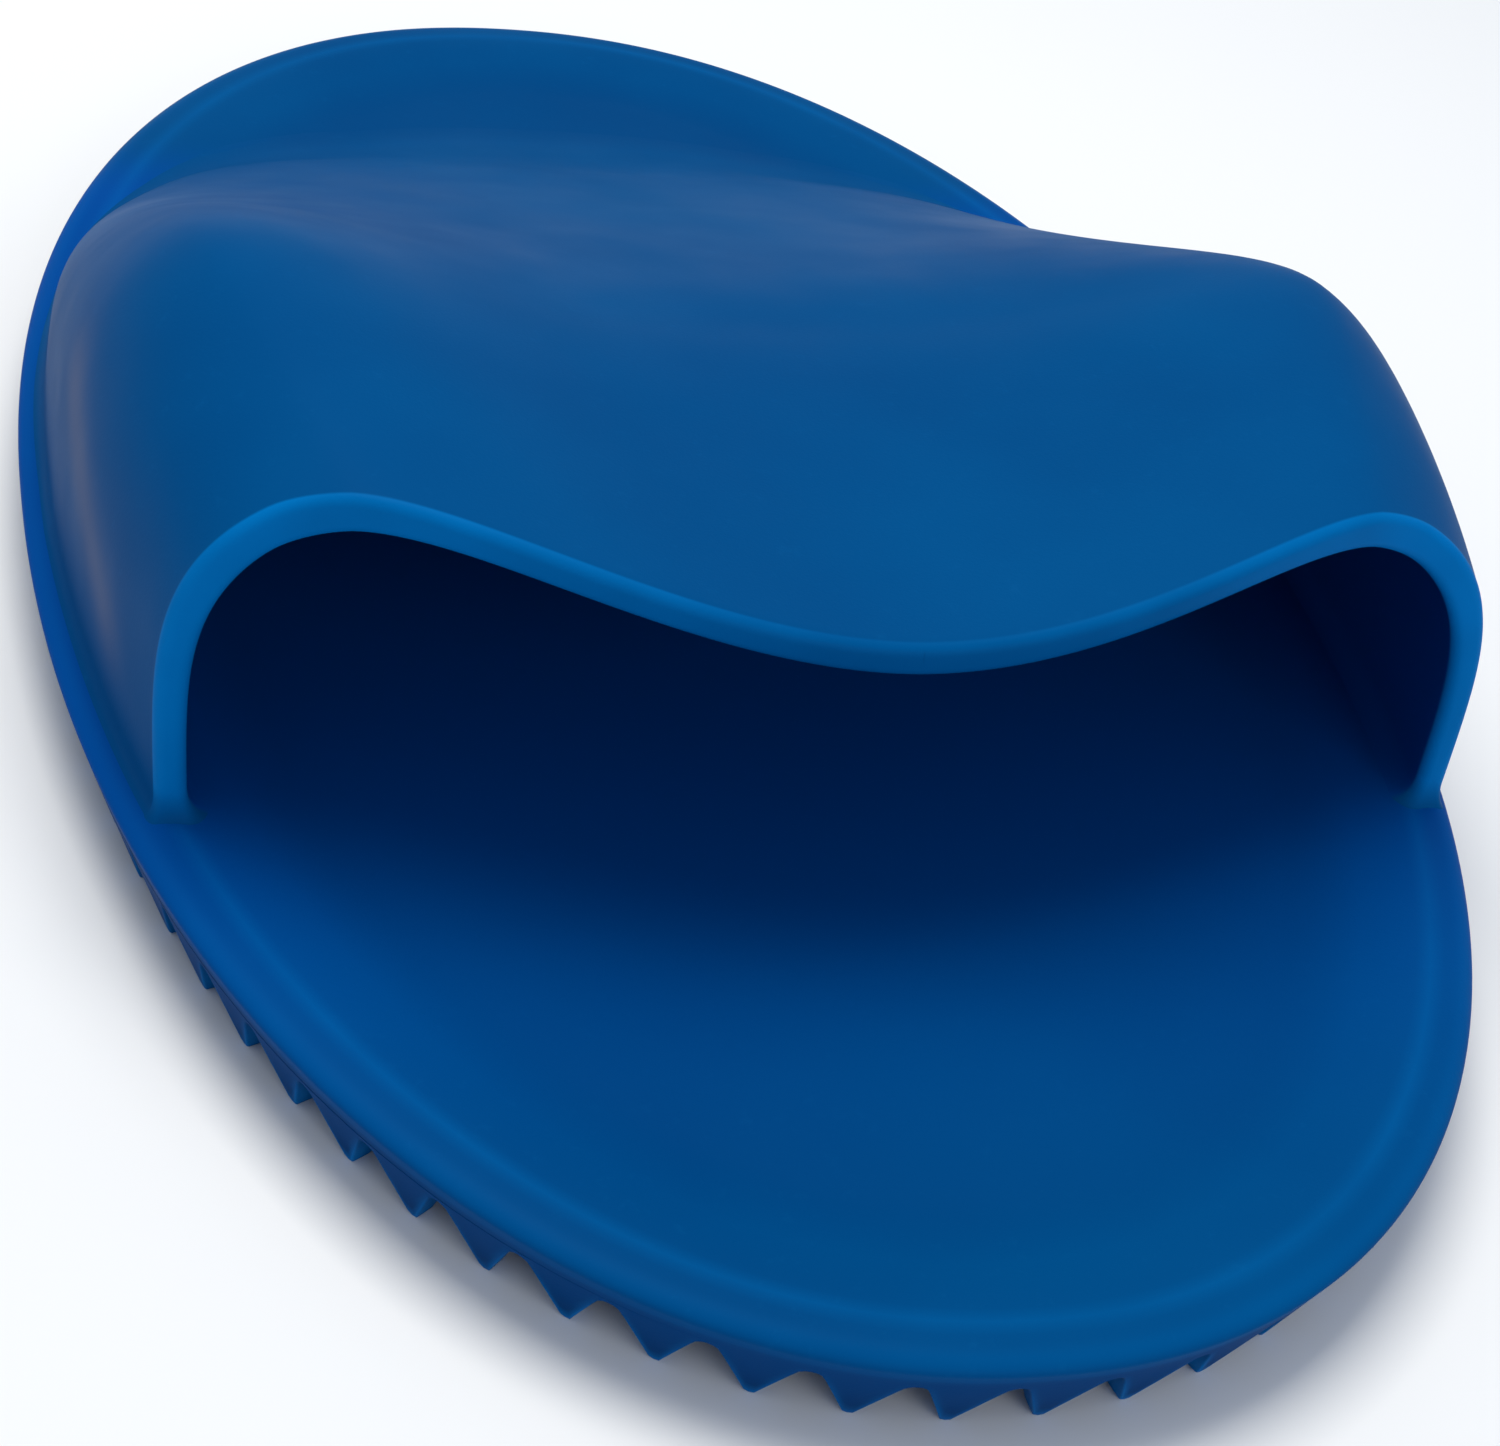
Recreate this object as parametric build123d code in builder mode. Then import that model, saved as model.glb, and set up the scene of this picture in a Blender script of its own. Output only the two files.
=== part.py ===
"""Rubber curry brush: an oval pad with a finger hood on top and rings of saw teeth below.

The frame: the origin is at the middle of the oval, in the plane of the tooth tips.
+Y runs along the pad from the hood's mouth to its closed toe, +X across it, +Z up.
"""

import math
import os

from build123d import *

# Driving dimensions, in millimetres.
pad_length = 130.5  # at the rim, before its edge is rounded
pad_width = 80.0
outline_power = 2.125
pad_height = 6.0
plate_thickness = 1.9
rim_draft = 2.0
rim_rounding = 0.7

tooth_pitch = 4.28
tooth_depth = 3.7
tip_flat = 0.4
valley_radius = 0.6
first_valley = 0.06  # from the +X axis, as a share of the pitch
valley_flare = 0.9  # how fast a valley widens below the tips
wall_root = 2.0
wall_tip = 1.2
ring_spacing = 9.2
ring_count = 3

hood_wall = 2.0
hood_half_width = 38.3
hood_mouth = -28.5
mouth_bulge = 7.7
mouth_bulge_half = 30.0
mouth_shoulder = 0.55  # a place along the bulge, as a share of its half width
mouth_shoulder_bulge = 0.58  # and the share of the bulge reached there
hood_crest = -4.0
hood_toe = 46.0
mouth_crown = 21.4
crest_crown = 23.8
crest_rounding = 3.0
rear_power = 1.3
mouth_dip = 5.1
crest_dip = 7.4
mouth_dip_half = 26.6
crest_dip_half = 33.0
mouth_dip_shape = 2.0
crest_dip_shape = 2.5
dip_end = 36.0
dip_fade_power = 1.5
dip_side_power = 1.4
front_reach = 63.0
front_power = 2.3
toe_power = 2.5
mouth_power = 4.15
crest_power = 4.6
toe_arch_power = 2.2
section_steps = 16
plate_bottom = pad_height - plate_thickness

# Where slices are taken across the hood, from ahead of the mouth to the toe.
mouth_slices = (-38, -33, hood_mouth, -23, -18, -13, -9)
crest_slices = (-6.5, -5, -4, -3, -1.5, 1)
back_slices = (5, 10, 15, 20, 25, 29, 33)
outer_toe_slices = (37, 40, 42.5, 44.5)
inner_toe_slices = (36,)


def oval_points(inset, count=32):
    """Points round the pad's outline, with both half axes made shorter by inset."""
    points = []
    for step in range(count):
        turn = 2 * math.pi * step / count
        across = math.copysign(abs(math.cos(turn)) ** (2 / outline_power), math.cos(turn))
        along = math.copysign(abs(math.sin(turn)) ** (2 / outline_power), math.sin(turn))
        points.append(((pad_width / 2 - inset) * across, (pad_length / 2 - inset) * along))
    return points


def oval_sketch(height, inset):
    """The oval at a height, as a sketch in its own plane."""
    with BuildSketch(Plane.XY.offset(height)) as oval:
        with BuildLine():
            Spline(*oval_points(inset), periodic=True)
        make_face()
    return oval.sketch


def wall_inset(height):
    """How far the side wall has leaned in from the rim at a height."""
    return rim_draft * (1 - height / pad_height)


def notch_places(inset):
    """One place for each valley between teeth, evenly spaced along an oval tooth wall."""
    with BuildLine() as wall_line:
        Spline(*oval_points(inset), periodic=True)
    line = wall_line.edges()[0]
    count = round(line.length / tooth_pitch)
    places = []
    for step in range(count):
        place = (step + first_valley) / count
        point = line.position_at(place)
        tangent = line.tangent_at(place)
        heading = math.degrees(math.atan2(tangent.Y, tangent.X))
        places.append(Location((point.X, point.Y, 0), (0, 0, heading)))
    return places


def make_notch():
    """The valley between two teeth: a rounded wedge that runs across the wall."""
    below_tips = 0.3
    half_base = (tooth_pitch - tip_flat + valley_flare * below_tips) / 2
    with BuildPart() as notch:
        with BuildSketch(Plane.XZ):
            with BuildLine():
                CenterArc((0, tooth_depth - valley_radius), valley_radius, 0, 360)
                Line((-half_base, -below_tips), (half_base, -below_tips))
            make_hull()
        extrude(amount=2 * wall_root, both=True)
    return notch.part


def make_base_pad():
    """The oval plate that everything else stands on or hangs from."""
    with BuildPart() as base_pad:
        add(oval_sketch(plate_bottom, wall_inset(plate_bottom)))
        add(oval_sketch(pad_height, 0))
        loft()
        fillet(base_pad.faces().sort_by(Axis.Z)[-1].edges(), rim_rounding)
    return base_pad.part


def make_tooth_ring(root_inset, tip_inset, notch):
    """A closed oval wall under the plate, with saw teeth cut in its lower edge."""
    middle = tip_inset + wall_tip / 2
    with BuildPart() as ring:
        add(oval_sketch(0, tip_inset))
        add(oval_sketch(plate_bottom, root_inset))
        loft()
        add(oval_sketch(0, tip_inset + wall_tip))
        add(oval_sketch(plate_bottom, root_inset + wall_root))
        loft(mode=Mode.SUBTRACT)
        with Locations(*notch_places(middle)):
            add(notch, mode=Mode.SUBTRACT)
    return ring.part


def make_centre_ridge(half_length, notch):
    """The straight wall of teeth along the pad's middle."""
    notch_count = round(2 * half_length / tooth_pitch)
    with BuildPart() as ridge:
        with BuildSketch(Plane.XY):
            SlotOverall(2 * half_length, wall_tip, rotation=90)
        with BuildSketch(Plane.XY.offset(plate_bottom)):
            SlotOverall(2 * half_length + wall_root - wall_tip, wall_root, rotation=90)
        loft()
        with GridLocations(1, tooth_pitch, 1, notch_count - 1):
            add(notch, rotation=(0, 0, 90), mode=Mode.SUBTRACT)
    return ridge.part


def plan_half_width(y):
    """Half the hood's width at its feet: a full curve ahead of the middle, a blunt toe behind."""
    reach, power = (front_reach, front_power) if y < 0 else (hood_toe, toe_power)
    return hood_half_width * (1 - abs(y / reach) ** power) ** (1 / power)


def roof_crown(y):
    """The roof's height over the pad before the dip: level to the crest, then a hollow slope."""
    front = mouth_crown + (crest_crown - mouth_crown) * (y - hood_mouth) / (hood_crest - hood_mouth)
    back = crest_crown * ((hood_toe - y) / (hood_toe - hood_crest)) ** rear_power
    return (front + back - math.hypot(front - back, crest_rounding)) / 2


def front_blend(y, at_mouth, at_crest):
    """A value that changes evenly from the mouth to the crest and stays level behind it."""
    share = min(1.0, (y - hood_mouth) / (hood_crest - hood_mouth))
    return at_mouth + (at_crest - at_mouth) * share


def roof_dip(x, y):
    """The hollow along the roof between its two humps, which fades out behind the crest."""
    fade = min(1.0, max(0.0, (dip_end - y) / (dip_end - hood_crest))) ** dip_fade_power
    half = front_blend(y, mouth_dip_half, crest_dip_half)
    shape = front_blend(y, mouth_dip_shape, crest_dip_shape)
    depth = front_blend(y, mouth_dip, crest_dip)
    return depth * fade * max(0.0, 1 - abs(x / half) ** shape) ** dip_side_power


def arch_power(y):
    """How square the hood's arch is: squarest at the crest, rounder at the toe."""
    if y < hood_crest:
        return front_blend(y, mouth_power, crest_power)
    share = (y - hood_crest) / (hood_toe - hood_crest)
    return crest_power + (toe_arch_power - crest_power) * share


def hood_arch(y, inset):
    """Points over the hood from its right foot to its left, as (x, z)."""
    power = arch_power(y)
    half_width = plan_half_width(y) - inset
    crown = roof_crown(y) - inset
    points = []
    for step in range(section_steps + 1):
        turn = math.pi * step / section_steps
        x = half_width * math.copysign(abs(math.cos(turn)) ** (2 / power), math.cos(turn))
        rise = crown * math.sin(turn) ** (2 / power) if 0 < step < section_steps else 0.0
        points.append((x, pad_height + rise - roof_dip(x, y) * min(1.0, rise / crown)))
    return points


def hood_section(y, inset, footing):
    """A closed slice across the hood, reaching a little below the pad's top."""
    arch = hood_arch(y, inset)
    right_foot = (arch[0][0], pad_height - footing)
    left_foot = (arch[-1][0], pad_height - footing)
    with BuildSketch(Plane.XZ.offset(-y)) as section:
        with BuildLine():
            Spline(right_foot, *arch, left_foot)
            Line(left_foot, right_foot)
        make_face()
    return section.sketch


def make_finger_hood():
    """The hood that holds the fingers: open at the mouth, closed down to the pad at the toe."""
    footing = 1.0
    shared_slices = mouth_slices + crest_slices + back_slices
    side = pad_width
    with BuildPart() as hood:
        for y in shared_slices + outer_toe_slices:
            add(hood_section(y, 0, footing))
        loft(ruled=True)
        for y in shared_slices + inner_toe_slices:
            add(hood_section(y, hood_wall, footing))
        loft(ruled=True, mode=Mode.SUBTRACT)
        with Locations((0, 0, pad_height)):
            below = (Align.CENTER, Align.CENTER, Align.MAX)
            Box(2 * side, 2 * side, 2 * footing, align=below, mode=Mode.SUBTRACT)
        with BuildSketch(Plane.XY):
            with BuildLine():
                mouth_edge = Spline(
                    (mouth_bulge_half, hood_mouth),
                    (mouth_bulge_half * mouth_shoulder, hood_mouth - mouth_shoulder_bulge * mouth_bulge),
                    (0, hood_mouth - mouth_bulge),
                    (-mouth_bulge_half * mouth_shoulder, hood_mouth - mouth_shoulder_bulge * mouth_bulge),
                    (-mouth_bulge_half, hood_mouth),
                    tangents=((-1, 0), (-1, 0)),
                )
                Polyline(
                    mouth_edge @ 1,
                    (-side, hood_mouth),
                    (-side, -side),
                    (side, -side),
                    (side, hood_mouth),
                    mouth_edge @ 0,
                )
            make_face()
        extrude(amount=2 * side, mode=Mode.SUBTRACT)
    return hood.part


def save(part, name):
    """Labels a finished piece and writes it as its own STEP file."""
    part.label = name
    export_step(part, f"parts/{name}.step")


os.makedirs("parts", exist_ok=True)
tooth_notch = make_notch()
save(make_base_pad(), "base_pad")
save(make_finger_hood(), "finger_hood")
save(make_tooth_ring(wall_inset(plate_bottom), wall_inset(0), tooth_notch), "rim_tooth_wall")
for ring_number in range(1, ring_count + 1):
    centre_line = rim_draft + wall_tip / 2 + ring_number * ring_spacing
    ring = make_tooth_ring(centre_line - wall_root / 2, centre_line - wall_tip / 2, tooth_notch)
    save(ring, f"tooth_ring_{ring_number}")
ridge_half_length = pad_length / 2 - rim_draft - (ring_count + 1) * ring_spacing
save(make_centre_ridge(ridge_half_length, tooth_notch), "centre_tooth_ridge")
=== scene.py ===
"""The looks of the rubber curry brush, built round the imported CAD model. Lengths are in metres."""

import math

import bmesh
import bpy
import numpy as np
from mathutils import Euler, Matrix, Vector


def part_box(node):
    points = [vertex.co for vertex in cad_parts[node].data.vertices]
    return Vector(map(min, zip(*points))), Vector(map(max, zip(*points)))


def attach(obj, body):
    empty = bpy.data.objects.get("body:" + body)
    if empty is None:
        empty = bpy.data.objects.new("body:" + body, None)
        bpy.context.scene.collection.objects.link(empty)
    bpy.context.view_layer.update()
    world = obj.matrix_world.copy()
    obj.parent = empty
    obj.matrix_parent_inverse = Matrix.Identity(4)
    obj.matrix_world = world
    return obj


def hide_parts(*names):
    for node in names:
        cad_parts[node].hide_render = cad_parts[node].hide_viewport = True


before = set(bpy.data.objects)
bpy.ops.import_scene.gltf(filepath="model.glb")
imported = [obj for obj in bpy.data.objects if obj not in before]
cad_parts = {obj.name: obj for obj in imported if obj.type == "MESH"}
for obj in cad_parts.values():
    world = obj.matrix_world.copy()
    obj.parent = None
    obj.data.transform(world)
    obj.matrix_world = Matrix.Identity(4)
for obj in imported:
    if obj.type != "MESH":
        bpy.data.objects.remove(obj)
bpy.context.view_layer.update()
MM = 0.001

# The pad's outline, which is a superellipse, and the heights read from the CAD frame.
PAD_LOW, PAD_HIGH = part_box("base_pad")
HALF_LENGTH = 65.25 * MM
HALF_WIDTH = 40.0 * MM
PAD_TOP = PAD_HIGH.z
PLATE_BOTTOM = PAD_LOW.z
OUTLINE_POWER = 2.125

# The pad's top: a rounded lip at the rim, a soft bead inside it, and a shallow dish.
RIM_DRAFT = 2.3 * MM
LIP_OUT = max(HALF_WIDTH - PAD_HIGH.x, HALF_LENGTH - PAD_HIGH.y) + 0.003 * MM
BEAD_INSET = 2.7 * MM
RIM_FALL = 0.3 * MM
LIP_REACH = 1.1 * MM
LIP_DROP = PAD_TOP * LIP_OUT / RIM_DRAFT - RIM_FALL * (1 - LIP_OUT / BEAD_INSET) ** 2
DISH_START = 2.7 * MM
DISH_END = 10.5 * MM
DISH_DEPTH = 0.9 * MM
PAD_COLUMNS = 512

# Where the pad has painted highlights: along the bead, and more faintly along the lip, no lower than a
# short drop below its top.
BEAD_HIGHLIGHT, BEAD_HIGHLIGHT_WIDTH = 0.22, 0.45 * MM
LIP_HIGHLIGHT, LIP_HIGHLIGHT_WIDTH = 0.12, 0.5 * MM
LIP_HIGHLIGHT_INSET = LIP_OUT + 0.5 * MM
HIGHLIGHT_DROP = 1.5 * MM

# The part of the pad that takes the painted shade's deeper blue, along its length, and how gently that
# starts and ends.
SHADE_TINT_FRONT, SHADE_TINT_FRONT_FADE = -62.0 * MM, 44.0 * MM
SHADE_TINT_BACK, SHADE_TINT_BACK_FADE = 44.0 * MM, 10.0 * MM

# The saw teeth.
TOOTH_PITCH = 4.28 * MM
TOOTH_DEPTH = 3.7 * MM
FIRST_VALLEY = 0.06
TIP_FLAT = 0.4 * MM
VALLEY_RADIUS = 0.6 * MM
WALL_ROOT = 2.0 * MM
WALL_TIP = 1.2 * MM
RING_START = 2.0 * MM
RING_SPACING = 9.2 * MM
RING_COUNT = 3
TOOTH_STEPS = 18
TOOTH_EDGE = 0.22 * MM
TOOTH_WEAR_RISE = 0.9 * MM

# The finger hood. Its plan and its dip at the mouth are the CAD model's, and its crest is softer.
HOOD_WALL = 1.8 * MM
HOOD_HALF_WIDTH = 38.3 * MM
MOUTH = -28.5 * MM
MOUTH_BULGE = 7.7 * MM
BULGE_HALF = 30.0 * MM
BULGE_POWER = 1.5
CREST = -4.0 * MM
TOE = 46.0 * MM
MOUTH_CROWN = 21.6 * MM
CREST_CROWN = 24.4 * MM
CREST_ROUNDING = 5.0 * MM
REAR_POWER = 1.3
MOUTH_DIP, CREST_DIP = 5.1 * MM, 7.9 * MM
DIP_ROUNDING = 1.2 * MM
BLEND_ROUNDING = 0.2
MOUTH_DIP_HALF, CREST_DIP_HALF = 26.6 * MM, 33.0 * MM
MOUTH_DIP_SHAPE, CREST_DIP_SHAPE = 2.0, 2.5
DIP_END = 36.0 * MM
DIP_FADE_POWER = 1.5
DIP_SIDE_POWER = 1.4
FRONT_REACH = 63.0 * MM
FRONT_POWER = 2.3
TOE_POWER = 2.5
MOUTH_POWER, CREST_POWER, TOE_ARCH_POWER = 4.15, 4.6, 2.2
ARCH_ROUNDING = 0.3
MOUTH_LEAN = -1.05 * MM
LEAN_HEIGHT = 20.0 * MM
LEFT_TUCK = 0.9 * MM

# How finely the hood's surface is divided: points in a column, and columns along a flank and round
# the toe. The easing spreads a column's points more evenly the nearer it is to the toe.
COLUMN_SAMPLES = 110
FLANK_COLUMNS = 70
TOE_COLUMNS = 150
TOE_EASING, TOE_EASING_POWER = 2.6, 1.5

# The fillets at the hood's feet: how far out they reach and how high up the wall they start, and
# what the toe adds to each.
OUTER_REACH, OUTER_TOE_REACH = 0.7 * MM, 3.3 * MM
OUTER_RISE, OUTER_TOE_RISE = 1.2 * MM, 0.6 * MM
INNER_REACH, INNER_TOE_REACH = 1.5 * MM, 1.5 * MM
INNER_RISE, INNER_TOE_RISE = 1.6 * MM, 0.2 * MM
FOOT_SINK = 0.04 * MM
FOOT_STEPS = 10

# The cut edge round the mouth: the rounding on each side of it, the largest share of the wall that one
# rounding takes, and how the edge's paleness, partly wear and partly a painted highlight, grows from the
# middle to the sides.
MOUTH_CORNER = 0.6 * MM
CORNER_SHARE = 0.45
MIDDLE_WEAR_HIGHLIGHT, SIDE_WEAR_HIGHLIGHT, SIDE_WEAR_HIGHLIGHT_POWER = 0.25, 0.75, 1.5
WEAR_HIGHLIGHT_HALF_WIDTH = 30.0 * MM
WEAR_HIGHLIGHT_RISE = 1.6 * MM

# The painted highlight, a pale streak on the left flank, in the plane of y and z.
SHEEN_BACK = (-5.0 * MM, 17.5 * MM)
SHEEN_ALONG = (0.936, 0.351)
SHEEN_LENGTH = 20.0 * MM
SHEEN_WIDTH = 2.3 * MM
SHEEN_LEAD = 4.0 * MM
SHEEN_BACK_FADE, SHEEN_FRONT_FADE = 6.0 * MM, 5.0 * MM
FLANK_EDGE = -33.0 * MM
FLANK_FOOT = PAD_TOP + 1.0 * MM

# Mesh making: how close points are merged and slivers dissolved, and from what turn, in degrees,
# an edge stays sharp.
MERGE_DISTANCE = 0.004 * MM
SLIVER = 0.002 * MM
PAD_SHARP, TOOTH_SHARP, HOOD_SHARP = 60, 50, 50

# Sums: a guard against dividing by nothing, and how often a search halves its range.
TINY = 1e-9
BISECTIONS = 50

# The rubber's colours, as linear red, green and blue.
DARKER_TONE = (0.000, 0.059, 0.200, 1)
LIGHTER_TONE = (0.000, 0.071, 0.226, 1)
DUSTY = (0.002, 0.088, 0.260, 1)
# Painted shade: a deeper blue for the hood's inside and the pad it covers.
SHADE_TINT = (0.000, 0.060, 0.285, 1)
# A painted highlight: the pale colour of the streak on the left flank.
PAINTED_SHEEN_COLOUR = (0.130, 0.140, 0.220, 1)
# Painted shade: darker towards the bottom, on the teeth and the wall over them.
BOTTOM_SHADE = (0.000, 0.036, 0.150, 1)
# Paler edges: wear at the tooth tips, painted highlights along the pad's bead and lip, and partly both
# round the mouth.
WORN_EDGE_AND_HIGHLIGHT = (0.000, 0.170, 0.500, 1)
BOTTOM_SHADE_START, BOTTOM_SHADE_FULL = 5.6 * MM, 4.2 * MM


# ---------------------------------------------------------------- camera

def make_camera():
    """The camera at the photograph's viewing angle."""
    azimuth, elevation, roll = math.radians(-19.97), math.radians(33.9), math.radians(12.06)
    distance = 0.180
    back = Vector((
        math.sin(azimuth) * math.cos(elevation),
        -math.cos(azimuth) * math.cos(elevation),
        math.sin(elevation),
    ))
    data = bpy.data.cameras.new("camera")
    data.lens = 71.36
    data.sensor_width = 36.0
    data.shift_x = 0.0414
    data.shift_y = -0.0928
    data.clip_start = 0.005
    data.clip_end = 10.0
    camera = bpy.data.objects.new("camera", data)
    bpy.context.scene.collection.objects.link(camera)
    camera.location = back * distance
    aim = (-back).to_track_quat("-Z", "Y")
    camera.rotation_mode = "QUATERNION"
    camera.rotation_quaternion = aim @ Euler((0, 0, roll)).to_quaternion()
    bpy.context.scene.camera = camera


# ---------------------------------------------------------------- mesh helpers

def signed_power(value, power):
    """A power of a value's size, with the value's own sign."""
    return np.sign(value) * np.abs(value) ** power


def oval(turn, inset):
    """Points of the pad's outline at the given turns, with both half axes shorter by inset."""
    x = (HALF_WIDTH - inset) * signed_power(np.cos(turn), 2 / OUTLINE_POWER)
    y = (HALF_LENGTH - inset) * signed_power(np.sin(turn), 2 / OUTLINE_POWER)
    return x, y


def arc_lengths(path):
    """The length along a line of points at each of them."""
    return np.concatenate([[0], np.cumsum(np.linalg.norm(np.diff(path, axis=0), axis=1))])


def walk_outline(inset):
    """Close turns round the oval from its right side, and the length along it at each."""
    turns = np.linspace(0, 2 * math.pi, 20001)
    return turns, arc_lengths(np.stack(oval(turns, inset), 1))


def inset_of(x, y):
    """How far inside the outline a point is, in the same measure as oval()."""
    low = np.zeros_like(x)
    high = np.full_like(x, HALF_WIDTH - TINY)
    for _ in range(BISECTIONS):
        middle = (low + high) / 2
        reach = np.abs(x / (HALF_WIDTH - middle)) ** OUTLINE_POWER
        reach += np.abs(y / (HALF_LENGTH - middle)) ** OUTLINE_POWER
        inside = reach < 1
        low = np.where(inside, middle, low)
        high = np.where(inside, high, middle)
    return low


def smooth_step(value):
    """A change from 0 to 1 that starts and ends level."""
    value = np.clip(value, 0, 1)
    return value * value * (3 - 2 * value)


def top_height(inset):
    """The height of the pad's top at an inset: the lip's rounding, the bead and the dish."""
    edge = np.clip(1 - (inset - LIP_OUT) / LIP_REACH, 0, 1)
    lip = LIP_DROP * (1 - np.sqrt(1 - edge ** 2))
    dish = DISH_DEPTH * smooth_step((inset - DISH_START) / (DISH_END - DISH_START))
    fall = RIM_FALL * np.clip(1 - inset / BEAD_INSET, 0, 1) ** 2
    return PAD_TOP - fall - lip - dish


def floor_height(x, y):
    """The height of the pad's top at a point in plan."""
    return top_height(inset_of(x, y))


def grid_faces(rows, columns, wrap=False, flip=False):
    """Quads over a grid of points stored row after row; wrap joins each row's end to its start."""
    faces = []
    last = columns if wrap else columns - 1
    for row in range(rows - 1):
        for column in range(last):
            a = row * columns + column
            b = row * columns + (column + 1) % columns
            quad = (a, b, b + columns, a + columns)
            faces.append(quad[::-1] if flip else quad)
    return faces


def painted_sheen_streak(points):
    """How much each point lies in the painted highlight, a pale streak on the left flank."""
    x, y, z = np.asarray(points).T
    along = (SHEEN_BACK[0] - y) * SHEEN_ALONG[0] + (SHEEN_BACK[1] - z) * SHEEN_ALONG[1]
    across = (SHEEN_BACK[0] - y) * SHEEN_ALONG[1] - (SHEEN_BACK[1] - z) * SHEEN_ALONG[0]
    ends = smooth_step((along + SHEEN_LEAD) / SHEEN_BACK_FADE)
    ends *= smooth_step((SHEEN_LENGTH - along) / SHEEN_FRONT_FADE)
    return np.exp(-(across / SHEEN_WIDTH) ** 2) * ends * (x < FLANK_EDGE) * (z > FLANK_FOOT)


def make_piece(name, points, faces, material, nodes, wear_and_highlight, painted_shade, sharp_angle):
    """A smooth mesh that stands for CAD nodes, rides on the root body and wears a material."""
    mesh = bpy.data.meshes.new(name)
    mesh.from_pydata([tuple(p) for p in points], [], faces)
    # Point attributes for the material: paleness from wear and painted highlights, the painted shade's
    # deeper blue, and the painted highlight streak.
    for label, values in (("wear_and_highlight", wear_and_highlight), ("painted_shade", painted_shade), ("painted_sheen", painted_sheen_streak(points))):
        layer = mesh.attributes.new(label, "FLOAT", "POINT")
        layer.data.foreach_set("value", np.asarray(values, np.float32))
    work = bmesh.new()
    work.from_mesh(mesh)
    bmesh.ops.remove_doubles(work, verts=work.verts, dist=MERGE_DISTANCE)
    bmesh.ops.dissolve_degenerate(work, dist=SLIVER, edges=work.edges)
    bmesh.ops.recalc_face_normals(work, faces=work.faces)
    work.to_mesh(mesh)
    work.free()
    mesh.shade_smooth()
    mesh.set_sharp_from_angle(angle=math.radians(sharp_angle))
    mesh.materials.append(material)
    piece = bpy.data.objects.new(name, mesh)
    bpy.context.scene.collection.objects.link(piece)
    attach(piece, "root")
    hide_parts(*nodes)


# ---------------------------------------------------------------- pad

def make_pad(material):
    """The oval plate: dished top, rounded lip, drafted side and flat underside."""
    turn = np.linspace(0, 2 * math.pi, PAD_COLUMNS, endpoint=False)
    # The profile runs from the middle of the top out to the lip, down the side and back in below.
    level = np.linspace(HALF_WIDTH, DISH_END + 1 * MM, 22)
    dish = np.linspace(DISH_END + 0.5 * MM, LIP_OUT + LIP_REACH + 0.2 * MM, 26)
    lip = LIP_OUT + LIP_REACH * (1 - np.sin(np.linspace(0, math.pi / 2, 12)))
    profile = [(inset, top_height(inset)) for inset in (*level, *dish, *lip)]
    for height in np.linspace(profile[-1][1], PLATE_BOTTOM, 7)[1:]:
        profile.append((RIM_DRAFT * (1 - height / PAD_TOP), height))
    for inset in np.linspace(profile[-1][0] + 0.4 * MM, HALF_WIDTH, 10):
        profile.append((inset, PLATE_BOTTOM))
    points = []
    wear_and_highlight = []
    for inset, height in profile:
        x, y = oval(turn, inset)
        points.append(np.stack([x, y, np.full_like(x, height)], 1))
        # Painted highlights along the bead and the lip, on the top only.
        on_top = height > PAD_TOP - HIGHLIGHT_DROP
        painted_highlight = BEAD_HIGHLIGHT * math.exp(-((inset - BEAD_INSET) / BEAD_HIGHLIGHT_WIDTH) ** 2)
        painted_highlight += LIP_HIGHLIGHT * math.exp(-((inset - LIP_HIGHLIGHT_INSET) / LIP_HIGHLIGHT_WIDTH) ** 2)
        wear_and_highlight += [painted_highlight * on_top] * PAD_COLUMNS
    points = np.concatenate(points)
    faces = grid_faces(len(profile), PAD_COLUMNS, wrap=True)
    # Painted shade: a deeper blue on the pad under the hood, fading towards the pad's front, and none on
    # the underside.
    y, z = points[:, 1], points[:, 2]
    painted_shade = smooth_step((y - SHADE_TINT_FRONT) / SHADE_TINT_FRONT_FADE)
    painted_shade *= smooth_step((SHADE_TINT_BACK - y) / SHADE_TINT_BACK_FADE)
    underside = z < PLATE_BOTTOM + 0.4 * MM
    painted_shade = np.where(underside, 0, painted_shade)
    make_piece("pad_plate", points, faces, material, ["base_pad"], wear_and_highlight, painted_shade, PAD_SHARP)


# ---------------------------------------------------------------- teeth

def tooth_height(share):
    """The height of a tooth wall's lower edge at a share of the pitch past a tooth's tip."""
    from_valley = TOOTH_PITCH * (0.5 - np.abs((share + 0.5) % 1 - 0.5))
    centre = TOOTH_DEPTH - VALLEY_RADIUS
    mouth = (TOOTH_PITCH - TIP_FLAT) / 2
    turn = math.acos(VALLEY_RADIUS / math.hypot(mouth, centre)) - math.atan2(centre, mouth)
    touch_x, touch_z = VALLEY_RADIUS * math.cos(turn), centre + VALLEY_RADIUS * math.sin(turn)
    arc = centre + np.sqrt(np.clip(VALLEY_RADIUS ** 2 - from_valley ** 2, 0, None))
    side = touch_z * (mouth - from_valley) / (mouth - touch_x)
    return np.where(from_valley < touch_x, arc, np.clip(side, 0, None))


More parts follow.
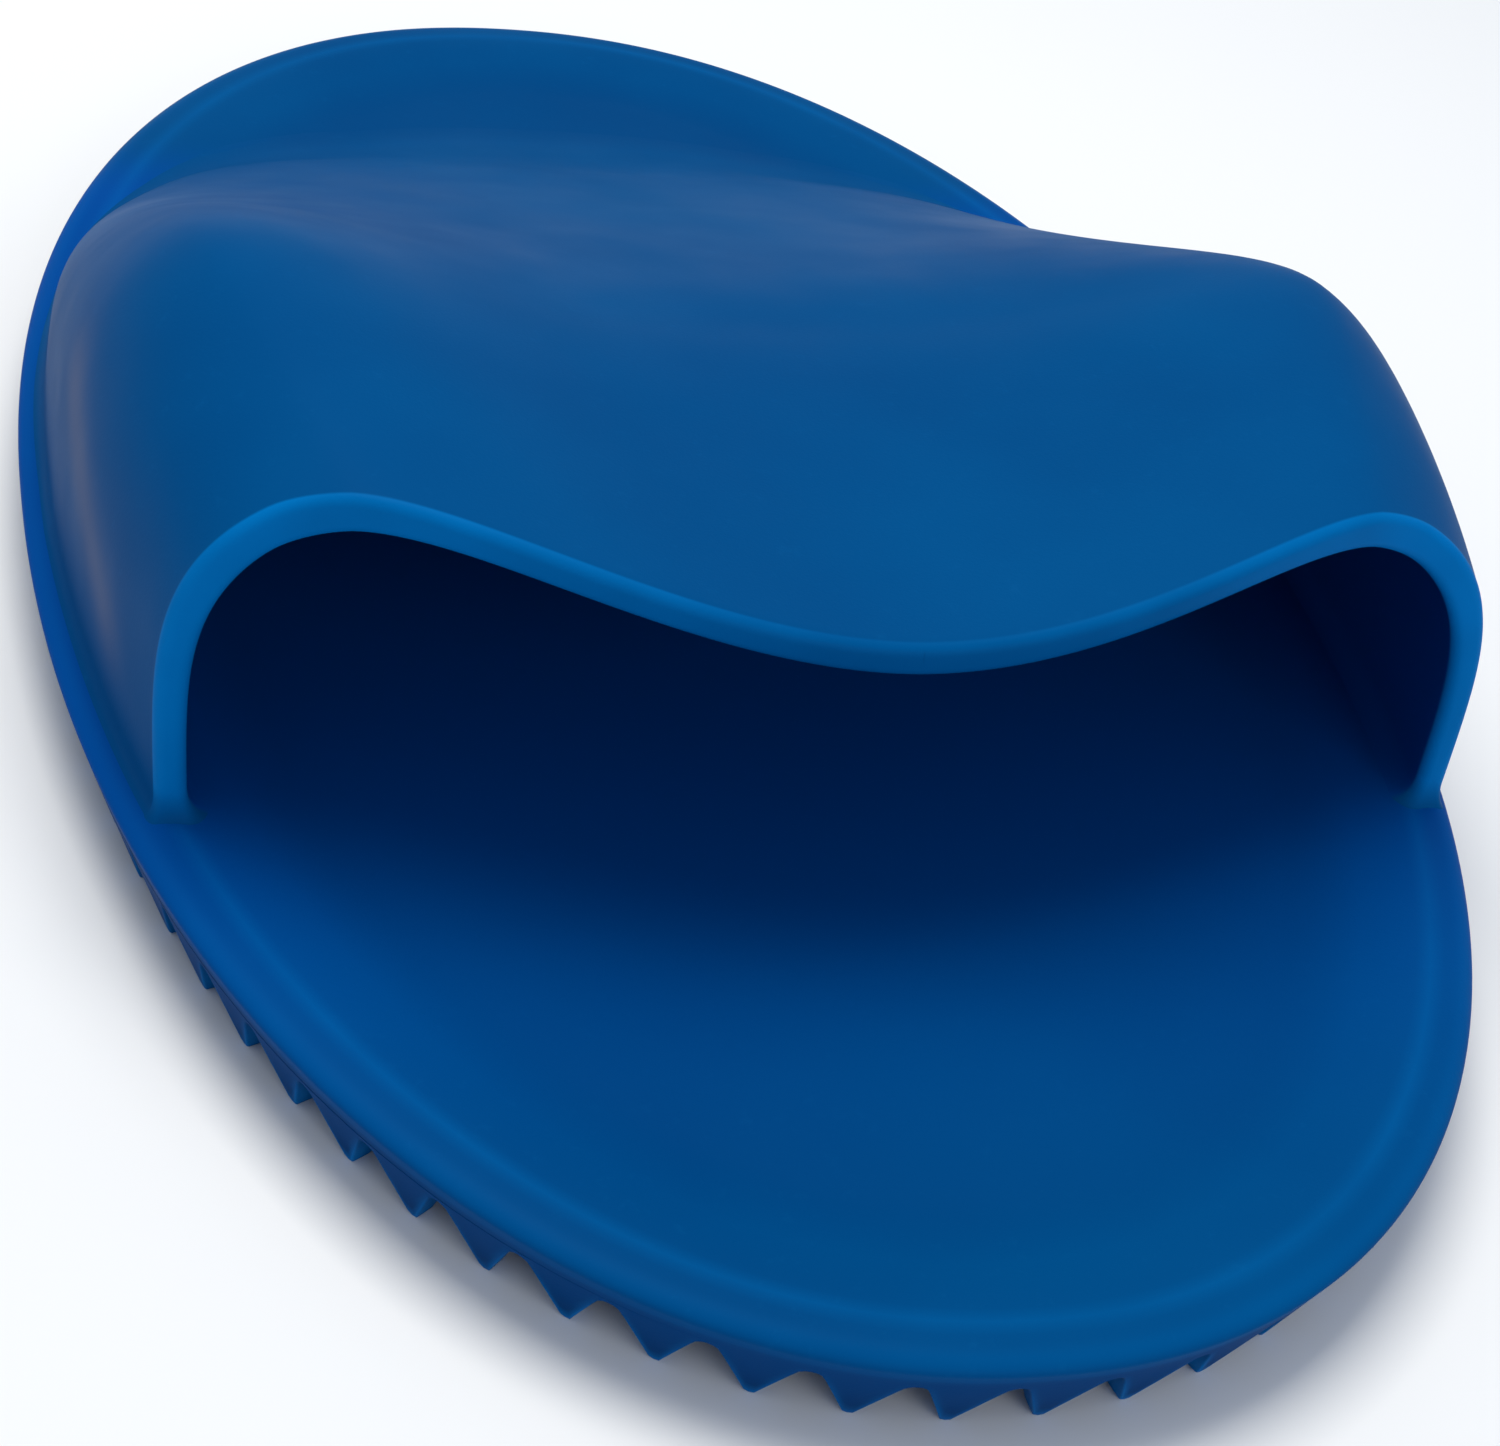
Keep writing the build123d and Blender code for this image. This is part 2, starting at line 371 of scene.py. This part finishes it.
def wall_points(centre_x, centre_y, normal_x, normal_y, low):
    """Rows of points down a tooth wall's outside, round its lower edge and up its inside.

    The wall stands upright on the line of centres and gets thinner from its root to its tips.
    """
    rows = []
    wear_and_highlight = []

    def add_row(shift, height, worn):
        rows.append((centre_x + normal_x * shift, centre_y + normal_y * shift, height + 0 * centre_x))
        wear_and_highlight.append(worn)

    def half_at(height):
        return (WALL_ROOT + (WALL_TIP - WALL_ROOT) * (PLATE_BOTTOM - height) / PLATE_BOTTOM) / 2

    near_tip = np.clip(1 - low / TOOTH_DEPTH, 0, 1)
    down = (0, 0.2, 0.4, 0.6, 0.8, 0.93)
    for side, shares in ((1, down), (-1, down[::-1])):
        for share in shares:
            height = PLATE_BOTTOM + (low + TOOTH_EDGE - PLATE_BOTTOM) * share
            worn = np.clip(1 - (height - low) / TOOTH_WEAR_RISE, 0, 1) * near_tip
            add_row(side * half_at(height), height, worn)
        if side == 1:
            for angle in np.linspace(0, math.pi, 9):
                flat = half_at(low + TOOTH_EDGE) - TOOTH_EDGE
                across = (flat if angle < math.pi / 2 else -flat) + TOOTH_EDGE * math.cos(angle)
                add_row(across, low + TOOTH_EDGE - TOOTH_EDGE * math.sin(angle), near_tip)
    points = [np.stack(row, 1) for row in rows]
    return np.concatenate(points), np.concatenate(wear_and_highlight), len(rows)


def roof_faces(rows, columns, wrap=False):
    """Quads that close a tooth wall where it meets the plate, from its last row to its first."""
    last = (rows - 1) * columns
    nexts = [(c + 1) % columns for c in range(columns if wrap else columns - 1)]
    return [(last + c, last + following, following, c) for c, following in enumerate(nexts)]


def make_tooth_ring(name, node, root_inset, tip_inset, material):
    """A closed oval wall whose lower edge is cut into saw teeth."""
    middle = tip_inset + WALL_TIP / 2
    fine_turns, lengths = walk_outline(middle)
    columns = round(lengths[-1] / TOOTH_PITCH) * TOOTH_STEPS
    turn = np.interp(np.arange(columns) / columns * lengths[-1], lengths, fine_turns)
    x, y = oval(turn, middle)
    along_x = np.roll(x, -1) - np.roll(x, 1)
    along_y = np.roll(y, -1) - np.roll(y, 1)
    size = np.hypot(along_x, along_y)
    normal_x, normal_y = along_y / size, -along_x / size
    low = tooth_height(np.arange(columns) / TOOTH_STEPS - FIRST_VALLEY + 0.5)
    points, wear_and_highlight, rows = wall_points(x, y, normal_x, normal_y, low)
    # A drafted wall leans out from its tips to its root.
    lean = middle - (root_inset + WALL_ROOT / 2)
    shift = lean * points[:, 2] / PLATE_BOTTOM
    points[:, 0] += np.tile(normal_x, rows) * shift
    points[:, 1] += np.tile(normal_y, rows) * shift
    faces = grid_faces(rows, columns, wrap=True) + roof_faces(rows, columns, wrap=True)
    make_piece(name, points, faces, material, [node], wear_and_highlight, 0 * wear_and_highlight, TOOTH_SHARP)


def make_rings(material):
    """The rim's tooth wall, and the closed tooth walls inside it."""
    rim_root = RIM_DRAFT * (PAD_TOP - PLATE_BOTTOM) / PAD_TOP
    make_tooth_ring("rim_teeth", "rim_tooth_wall", rim_root, RIM_DRAFT, material)
    for number in range(1, RING_COUNT + 1):
        line = RING_START + WALL_TIP / 2 + number * RING_SPACING
        root, tip = line - WALL_ROOT / 2, line - WALL_TIP / 2
        make_tooth_ring(f"ring_teeth_{number}", f"tooth_ring_{number}", root, tip, material)


def make_ridge(material):
    """The straight wall of teeth along the middle of the underside."""
    _, high_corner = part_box("centre_tooth_ridge")
    half = high_corner.y - WALL_ROOT / 2
    teeth = round(2 * half / TOOTH_PITCH)
    columns = teeth * TOOTH_STEPS + 1
    y = np.linspace(-half, half, columns)
    # Both ends are near a tip, so an odd count of pitches has a valley at the middle.
    low = tooth_height(y / TOOTH_PITCH + (0.5 if teeth % 2 else 0.0))
    points, wear_and_highlight, rows = wall_points(0 * y, y, np.ones(columns), 0 * y, low)
    faces = grid_faces(rows, columns)
    for end in (0, columns - 1):
        for row in range(rows // 2 - 1):
            across = rows - 1 - row
            corners = (row, row + 1, across - 1, across)
            faces.append(tuple(corner * columns + end for corner in corners))
    faces += roof_faces(rows, columns)
    make_piece("centre_ridge", points, faces, material, ["centre_tooth_ridge"], wear_and_highlight, 0 * wear_and_highlight, TOOTH_SHARP)


# ---------------------------------------------------------------- hood

def toe_of(inset):
    """Where the roof comes down to the pad at the toe."""
    return TOE - (TOE - CREST) * (inset / CREST_CROWN) ** (1 / REAR_POWER)


def plan_half_width(y, inset):
    """Half the hood's width at its feet."""
    front = 1 - np.abs(np.minimum(y, 0) / FRONT_REACH) ** FRONT_POWER
    back = 1 - np.clip(np.maximum(y, 0) / toe_of(inset), 0, 1) ** TOE_POWER
    width = np.where(y < 0, front ** (1 / FRONT_POWER), back ** (1 / TOE_POWER))
    return (HOOD_HALF_WIDTH - inset) * width


def soft_lower(first, second, rounding):
    """The lower of two values, with a rounded change from one to the other."""
    return (first + second - np.hypot(first - second, rounding)) / 2


def roof_crown(y, inset):
    """The roof's height over the pad before the dip."""
    front = MOUTH_CROWN + (CREST_CROWN - MOUTH_CROWN) * (y - MOUTH) / (CREST - MOUTH)
    back = CREST_CROWN * (np.clip(TOE - y, 0, None) / (TOE - CREST)) ** REAR_POWER
    return soft_lower(front, back, CREST_ROUNDING) - inset


def front_blend(y, at_mouth, at_crest):
    """A value that changes evenly from the mouth to the crest and stays level behind it."""
    share = soft_lower((y - MOUTH) / (CREST - MOUTH), 1, BLEND_ROUNDING)
    return at_mouth + (at_crest - at_mouth) * share


def roof_dip(x, y):
    """The hollow between the roof's two humps."""
    front = MOUTH_DIP + (CREST_DIP - MOUTH_DIP) * (y - MOUTH) / (CREST - MOUTH)
    back = CREST_DIP * (np.clip(DIP_END - y, 0, None) / (DIP_END - CREST)) ** DIP_FADE_POWER
    depth = np.maximum(soft_lower(front, back, DIP_ROUNDING), 0)
    half = front_blend(y, MOUTH_DIP_HALF, CREST_DIP_HALF)
    shape = front_blend(y, MOUTH_DIP_SHAPE, CREST_DIP_SHAPE)
    return depth * np.clip(1 - np.abs(x / half) ** shape, 0, None) ** DIP_SIDE_POWER


def arch_power(y):
    """How square the hood's arch is: squarest at the crest, rounder at the toe."""
    front = MOUTH_POWER + (CREST_POWER - MOUTH_POWER) * (y - MOUTH) / (CREST - MOUTH)
    back = CREST_POWER + (TOE_ARCH_POWER - CREST_POWER) * (y - CREST) / (TOE - CREST)
    return soft_lower(front, back, ARCH_ROUNDING)


def roof_height(x, y, inset):
    """The hood's height over the pad's top at a point in plan."""
    power = arch_power(y)
    across = np.clip(np.abs(x) / np.maximum(plan_half_width(y, inset), TINY), 0, 1)
    square = np.clip(1 - across ** power, 0, 1) ** (1 / power)
    return (roof_crown(y, inset) - roof_dip(x, y)) * square


def mouth_bulge(x):
    """How far the mouth's edge stands ahead of its feet."""
    return MOUTH_BULGE * np.clip(1 - (x / BULGE_HALF) ** 2, 0, 1) ** BULGE_POWER


def lean_of(x, y, height):
    """How the mouth leans a little to the left and tucks in its left foot, as relaxed rubber."""
    share = np.clip((CREST - y) / (CREST - MOUTH), 0, 1)
    rise = (height - PAD_TOP) / LEAN_HEIGHT
    tuck = LEFT_TUCK * np.clip(-x / HOOD_HALF_WIDTH, 0, 1) * np.clip(1 - rise, 0, 1)
    return share * (MOUTH_LEAN * rise + tuck)


def arch_share(turn, power):
    """How far out from the middle a point of a superellipse is, at a turn up from its foot."""
    return np.cos(turn) * (np.cos(turn) ** power + np.sin(turn) ** power) ** (-1 / power)


def hood_columns(inset):
    """The hood's surface as columns of points, each from its foot up to the roof's middle.

    The columns run from the mouth's right foot back along the side, fan round the toe, and
    come forward along the left side to the mouth's left foot.
    """
    turn = np.linspace(0, math.pi / 2, COLUMN_SAMPLES)
    columns = []
    feet = []
    for side in (1, -1):
        # The right side's columns run backwards from the mouth, and the left side's run forwards.
        for share in np.linspace(0, 1, FLANK_COLUMNS)[::side]:
            foot_y = MOUTH + MOUTH_CORNER + (CREST - MOUTH - MOUTH_CORNER) * share
            width = float(plan_half_width(foot_y, inset))
            x = width * arch_share(turn, arch_power(foot_y))
            columns.append((side * x, foot_y - mouth_bulge(x) * (1 - share)))
            feet.append((side * width, foot_y))
        if side == 1:
            for angle in np.linspace(0, math.pi, TOE_COLUMNS + 2)[1:-1]:
                foot = fan_foot(angle, inset)
                power = CREST_POWER - TOE_EASING * math.sin(angle) ** TOE_EASING_POWER
                share = arch_share(turn, power)
                columns.append((foot[0] * share, CREST + (foot[1] - CREST) * share))
                feet.append(foot)
    x = np.array([across for across, _ in columns])
    y = np.array([along for _, along in columns])
    x[:, -1] = 0.0
    z = PAD_TOP + np.maximum(roof_height(x, y, inset), 0)
    z[:, 0] = PAD_TOP
    feet = np.array(feet)
    feet[:, 0] += lean_of(feet[:, 0], feet[:, 1], PAD_TOP)
    return np.stack([x + lean_of(x, y, z), y, z], 2), feet


def fan_foot(angle, inset):
    """Where a ray from the crest's middle crosses the foot line behind the crest."""
    low, high = 0.0, 2 * TOE
    for _ in range(BISECTIONS):
        reach = (low + high) / 2
        x, y = math.cos(angle) * reach, CREST + math.sin(angle) * reach
        inside = y < toe_of(inset) and abs(x) < float(plan_half_width(y, inset))
        low, high = (reach, high) if inside else (low, reach)
    return math.cos(angle) * low, CREST + math.sin(angle) * low


def blend_feet(grid, feet, reach, rise, outward):
    """Turns each column's foot out on to the pad in a smooth curve of FOOT_STEPS more points.

    It turns away from the hood's middle where outward is 1, and towards it where outward is -1.
    """
    tangent = np.zeros_like(feet)
    tangent[1:-1] = feet[2:] - feet[:-2]
    tangent[0] = feet[1] - feet[0]
    tangent[-1] = feet[-1] - feet[-2]
    tangent /= np.linalg.norm(tangent, axis=1)[:, None]
    normal = np.stack([tangent[:, 1], -tangent[:, 0]], 1) * outward
    result = []
    for column, foot, aside, far, high in zip(grid, feet, normal, reach, rise):
        end = foot + aside * far
        heights = column[:, 2]
        first = max(int(np.argmax(heights > PAD_TOP + high)), 1)
        share = (PAD_TOP + high - heights[first - 1]) / max(heights[first] - heights[first - 1], TINY)
        start = column[first - 1] + (column[first] - column[first - 1]) * min(max(share, 0.0), 1.0)
        floor = floor_height(np.array([foot[0], end[0]]), np.array([foot[1], end[1]]))
        corner = np.array([*foot, floor[0]])
        finish = np.array([*end, floor[1] - FOOT_SINK])
        t = np.linspace(1, 0, FOOT_STEPS, endpoint=False)[:, None]
        curve = (1 - t) ** 2 * start + 2 * (1 - t) * t * corner + t ** 2 * finish
        # Spread the rest of the column's points again over the length that is left.
        path = np.concatenate([start[None], column[first:]])
        new, old = arc_lengths(path), arc_lengths(column)
        wanted = old / old[-1] * new[-1]
        path = np.stack([np.interp(wanted, new, path[:, k]) for k in range(3)], 1)
        result.append(np.concatenate([curve, path]))
    return np.array(result)


def edge_rows(curve, other, angles, reach):
    """Rows that turn a surface's front edge through the given angles into the cut face.

    Near the pad they also sweep the foot's blend round the end of the wall.
    """
    along = np.gradient(curve[:, [0, 2]], axis=0)
    across = np.stack([along[:, 1], -along[:, 0]], 1)
    across /= np.maximum(np.linalg.norm(across, axis=1), TINY)[:, None]
    toward = (other - curve)[:, [0, 2]]
    across *= np.where((across * toward).sum(1) < 0, -1, 1)[:, None]
    in_foot = np.zeros(len(curve))
    in_foot[:FOOT_STEPS] = np.linspace(1, 0, FOOT_STEPS, endpoint=False)
    radius = np.minimum(MOUTH_CORNER, np.linalg.norm(toward, axis=1) * CORNER_SHARE) * (1 - in_foot)
    spread = reach * in_foot ** 2
    aside = np.sign(other[0, 0] - curve[0, 0])
    before = floor_height(curve[:, 0], curve[:, 1])
    rows = []
    for angle in angles:
        row = curve.copy()
        turned = 1 - math.cos(angle)
        row[:, 0] += across[:, 0] * radius * turned + aside * spread * turned
        row[:, 2] += across[:, 1] * radius * turned
        row[:, 1] -= (MOUTH_CORNER + spread) * math.sin(angle)
        row[:, 2] += (floor_height(row[:, 0], row[:, 1]) - before) * in_foot
        rows.append(row)
    return rows


def make_hood(material):
    """The hood: outer and inner surfaces, blended feet, and a rounded edge round the mouth."""
    outer, outer_feet = hood_columns(0.0)
    inner, inner_feet = hood_columns(HOOD_WALL)
    turn = np.arctan2(outer_feet[:, 1] - CREST, np.abs(outer_feet[:, 0]))
    back = np.sin(np.clip(turn, 0, math.pi / 2)) ** 2
    outer_reach, outer_rise = OUTER_REACH + OUTER_TOE_REACH * back, OUTER_RISE + OUTER_TOE_RISE * back
    inner_reach, inner_rise = INNER_REACH + INNER_TOE_REACH * back, INNER_RISE + INNER_TOE_RISE * back
    outer = blend_feet(outer, outer_feet, outer_reach, outer_rise, 1)
    inner = blend_feet(inner, inner_feet, inner_reach, inner_rise, -1)
    count, samples = outer.shape[:2]
    points = [outer.reshape(-1, 3), inner.reshape(-1, 3)]
    inner_start = count * samples
    total = inner_start * 2
    wear_and_highlight = [np.zeros(total)]
    faces = grid_faces(count, samples)
    faces += [tuple(i + inner_start for i in f) for f in grid_faces(count, samples, flip=True)]
    for foot in range(0, (count - 1) * samples, samples):
        faces.append((foot, foot + samples, inner_start + foot + samples, inner_start + foot))
    # Each half of the mouth's edge is a strip of rows from the outer surface round to the inner one.
    angles = np.linspace(0, math.pi / 2, 7)[1:]
    for end in (0, count - 1):
        rows = edge_rows(outer[end], inner[end], angles, OUTER_REACH)
        rows += edge_rows(inner[end], outer[end], angles[::-1], INNER_REACH)
        first = end * samples
        chain = [np.arange(first, first + samples)]
        for row in rows:
            points.append(row)
            # The mouth's edge grows paler towards the sides: partly wear, partly a painted highlight.
            aside = np.clip(np.abs(row[:, 0]) / WEAR_HIGHLIGHT_HALF_WIDTH, 0, 1) ** SIDE_WEAR_HIGHLIGHT_POWER
            above_foot = np.clip((row[:, 2] - PAD_TOP) / WEAR_HIGHLIGHT_RISE, 0, 1)
            wear_and_highlight.append((MIDDLE_WEAR_HIGHLIGHT + SIDE_WEAR_HIGHLIGHT * aside) * above_foot)
            chain.append(np.arange(total, total + samples))
            total += samples
        chain.append(np.arange(inner_start + first, inner_start + first + samples))
        for upper, lower in zip(chain[:-1], chain[1:]):
            faces += [(upper[k], upper[k + 1], lower[k + 1], lower[k]) for k in range(samples - 1)]
        faces += [(chain[r][0], chain[r + 1][0], chain[-1][0]) for r in range(len(chain) - 2)]
    faces = [tuple(int(i) for i in f) for f in faces]
    wear_and_highlight = np.concatenate(wear_and_highlight)
    # Painted shade: the hood's inner surface takes the deeper blue.
    painted_shade = np.zeros(total)
    painted_shade[inner_start:2 * inner_start] = 1
    points = np.concatenate(points)
    make_piece("hood_shell", points, faces, material, ["finger_hood"], wear_and_highlight, painted_shade, HOOD_SHARP)


# ---------------------------------------------------------------- material

def blue_rubber():
    """Satin moulded rubber: two close blues, a fine grain, dust specks, painted shade on the teeth and
    under the hood, a painted highlight streak, and paler edges that are partly wear and partly painted
    highlights.
    """
    material = bpy.data.materials.new("blue_rubber")
    material.use_nodes = True
    nodes = material.node_tree.nodes
    links = material.node_tree.links
    shader = nodes["Principled BSDF"]
    place = nodes.new("ShaderNodeTexCoord").outputs["Object"]

    def noise(scale, detail, roughness=0.5):
        node = nodes.new("ShaderNodeTexNoise")
        node.inputs["Scale"].default_value = scale
        node.inputs["Detail"].default_value = detail
        node.inputs["Roughness"].default_value = roughness
        links.new(place, node.inputs["Vector"])
        return node.outputs["Fac"]

    def ramp(source, low, high, low_value, high_value):
        node = nodes.new("ShaderNodeMapRange")
        node.inputs["From Min"].default_value = low
        node.inputs["From Max"].default_value = high
        node.inputs["To Min"].default_value = low_value
        node.inputs["To Max"].default_value = high_value
        links.new(source, node.inputs["Value"])
        return node.outputs["Result"]

    def attribute(name):
        node = nodes.new("ShaderNodeAttribute")
        node.attribute_name = name
        return node.outputs["Fac"]

    def product(first, second):
        node = nodes.new("ShaderNodeMath")
        node.operation = "MULTIPLY"
        links.new(first, node.inputs[0])
        links.new(second, node.inputs[1])
        return node.outputs["Value"]

    def mix(colour, amount):
        node = nodes.new("ShaderNodeMix")
        node.data_type = "RGBA"
        node.inputs["B"].default_value = colour
        links.new(amount, node.inputs["Factor"])
        return node

    def bump(height, strength, distance):
        node = nodes.new("ShaderNodeBump")
        node.inputs["Strength"].default_value = strength
        node.inputs["Distance"].default_value = distance
        links.new(height, node.inputs["Height"])
        return node

    cloud = noise(38.0, 3.0)
    speck = noise(900.0, 4.0, 0.7)
    grain = noise(5200.0, 3.0, 0.6)
    flow = noise(120.0, 2.0)
    axes = nodes.new("ShaderNodeSeparateXYZ")
    links.new(place, axes.inputs["Vector"])

    below = mix(LIGHTER_TONE, ramp(cloud, 0.35, 0.65, 0.0, 1.0))
    below.inputs["A"].default_value = DARKER_TONE
    dust = ramp(speck, 0.60, 0.80, 0.0, 0.35)
    painted_sheen = product(attribute("painted_sheen"), ramp(cloud, 0.35, 0.65, 0.36, 0.56))
    # Painted shade, darker towards the bottom of the pad.
    bottom_shade = ramp(axes.outputs["Z"], BOTTOM_SHADE_START, BOTTOM_SHADE_FULL, 0.0, 0.85)
    edge_wear_and_highlight = product(attribute("wear_and_highlight"), ramp(flow, 0.3, 0.7, 0.55, 0.95))
    layers = (
        (DUSTY, dust),
        (SHADE_TINT, attribute("painted_shade")),  # painted shade: a deeper blue inside the hood and on the pad it covers
        # a painted highlight: the pale streak on the left flank
        (PAINTED_SHEEN_COLOUR, painted_sheen),
        # painted shade, darker towards the bottom
        (BOTTOM_SHADE, bottom_shade),  # on the teeth and the wall over them
        # paler edges: wear at the tooth tips, painted highlights on the pad and, partly, round the mouth
        (WORN_EDGE_AND_HIGHLIGHT, edge_wear_and_highlight),
    )
    for colour, amount in layers:
        above = mix(colour, amount)
        links.new(below.outputs["Result"], above.inputs["A"])
        below = above
    links.new(below.outputs["Result"], shader.inputs["Base Color"])

    links.new(ramp(flow, 0.3, 0.7, 0.38, 0.50), shader.inputs["Roughness"])
    shader.inputs["Specular IOR Level"].default_value = 0.010
    shader.inputs["IOR"].default_value = 1.5

    skin = bump(grain, strength=0.25, distance=0.04 * MM)
    swell = bump(flow, strength=0.35, distance=0.12 * MM)
    links.new(skin.outputs["Normal"], swell.inputs["Normal"])
    links.new(swell.outputs["Normal"], shader.inputs["Normal"])
    return material


# ---------------------------------------------------------------- studio

def plain_material(name, colour, roughness):
    """A matt material of one colour."""
    material = bpy.data.materials.new(name)
    material.use_nodes = True
    shader = material.node_tree.nodes["Principled BSDF"]
    shader.inputs["Base Color"].default_value = (*colour, 1)
    shader.inputs["Roughness"].default_value = roughness
    return material


def area_light(name, place, aim, size, power, colour=(1, 1, 1)):
    """A soft rectangular light at a place, turned towards its aim."""
    data = bpy.data.lights.new(name, "AREA")
    data.shape = "RECTANGLE"
    data.size, data.size_y = size
    data.energy = power
    data.color = colour
    light = bpy.data.objects.new(name, data)
    bpy.context.scene.collection.objects.link(light)
    light.location = place
    light.rotation_mode = "QUATERNION"
    light.rotation_quaternion = (Vector(aim) - Vector(place)).to_track_quat("-Z", "Y")


def make_studio():
    """A pale floor, a pale surround and soft lights."""
    mesh = bpy.data.meshes.new("floor")
    reach = 2.5
    corners = [(-reach, -reach, 0), (reach, -reach, 0), (reach, reach, 0), (-reach, reach, 0)]
    mesh.from_pydata(corners, [], [(0, 1, 2, 3)])
    mesh.materials.append(plain_material("floor", (0.86, 0.86, 0.86), 0.9))
    floor = bpy.data.objects.new("floor", mesh)
    bpy.context.scene.collection.objects.link(floor)
    world = bpy.data.worlds.new("studio")
    world.use_nodes = True
    surround = world.node_tree.nodes["Background"]
    surround.inputs["Color"].default_value = (0.74, 0.84, 1, 1)
    surround.inputs["Strength"].default_value = 0.55
    bpy.context.scene.world = world
    warm_white = (1.0, 0.97, 0.90)
    area_light("key", (-0.04, 0.06, 0.36), (0, 0, 0.01), size=(0.24, 0.24), power=1.1, colour=warm_white)
    area_light("front", (0.12, -0.45, 0.20), (0, 0, 0.015), size=(0.25, 0.2), power=0.42)
    bpy.context.scene.view_settings.view_transform = "Standard"


make_camera()
make_studio()
rubber = blue_rubber()
make_pad(rubber)
make_rings(rubber)
make_ridge(rubber)
make_hood(rubber)
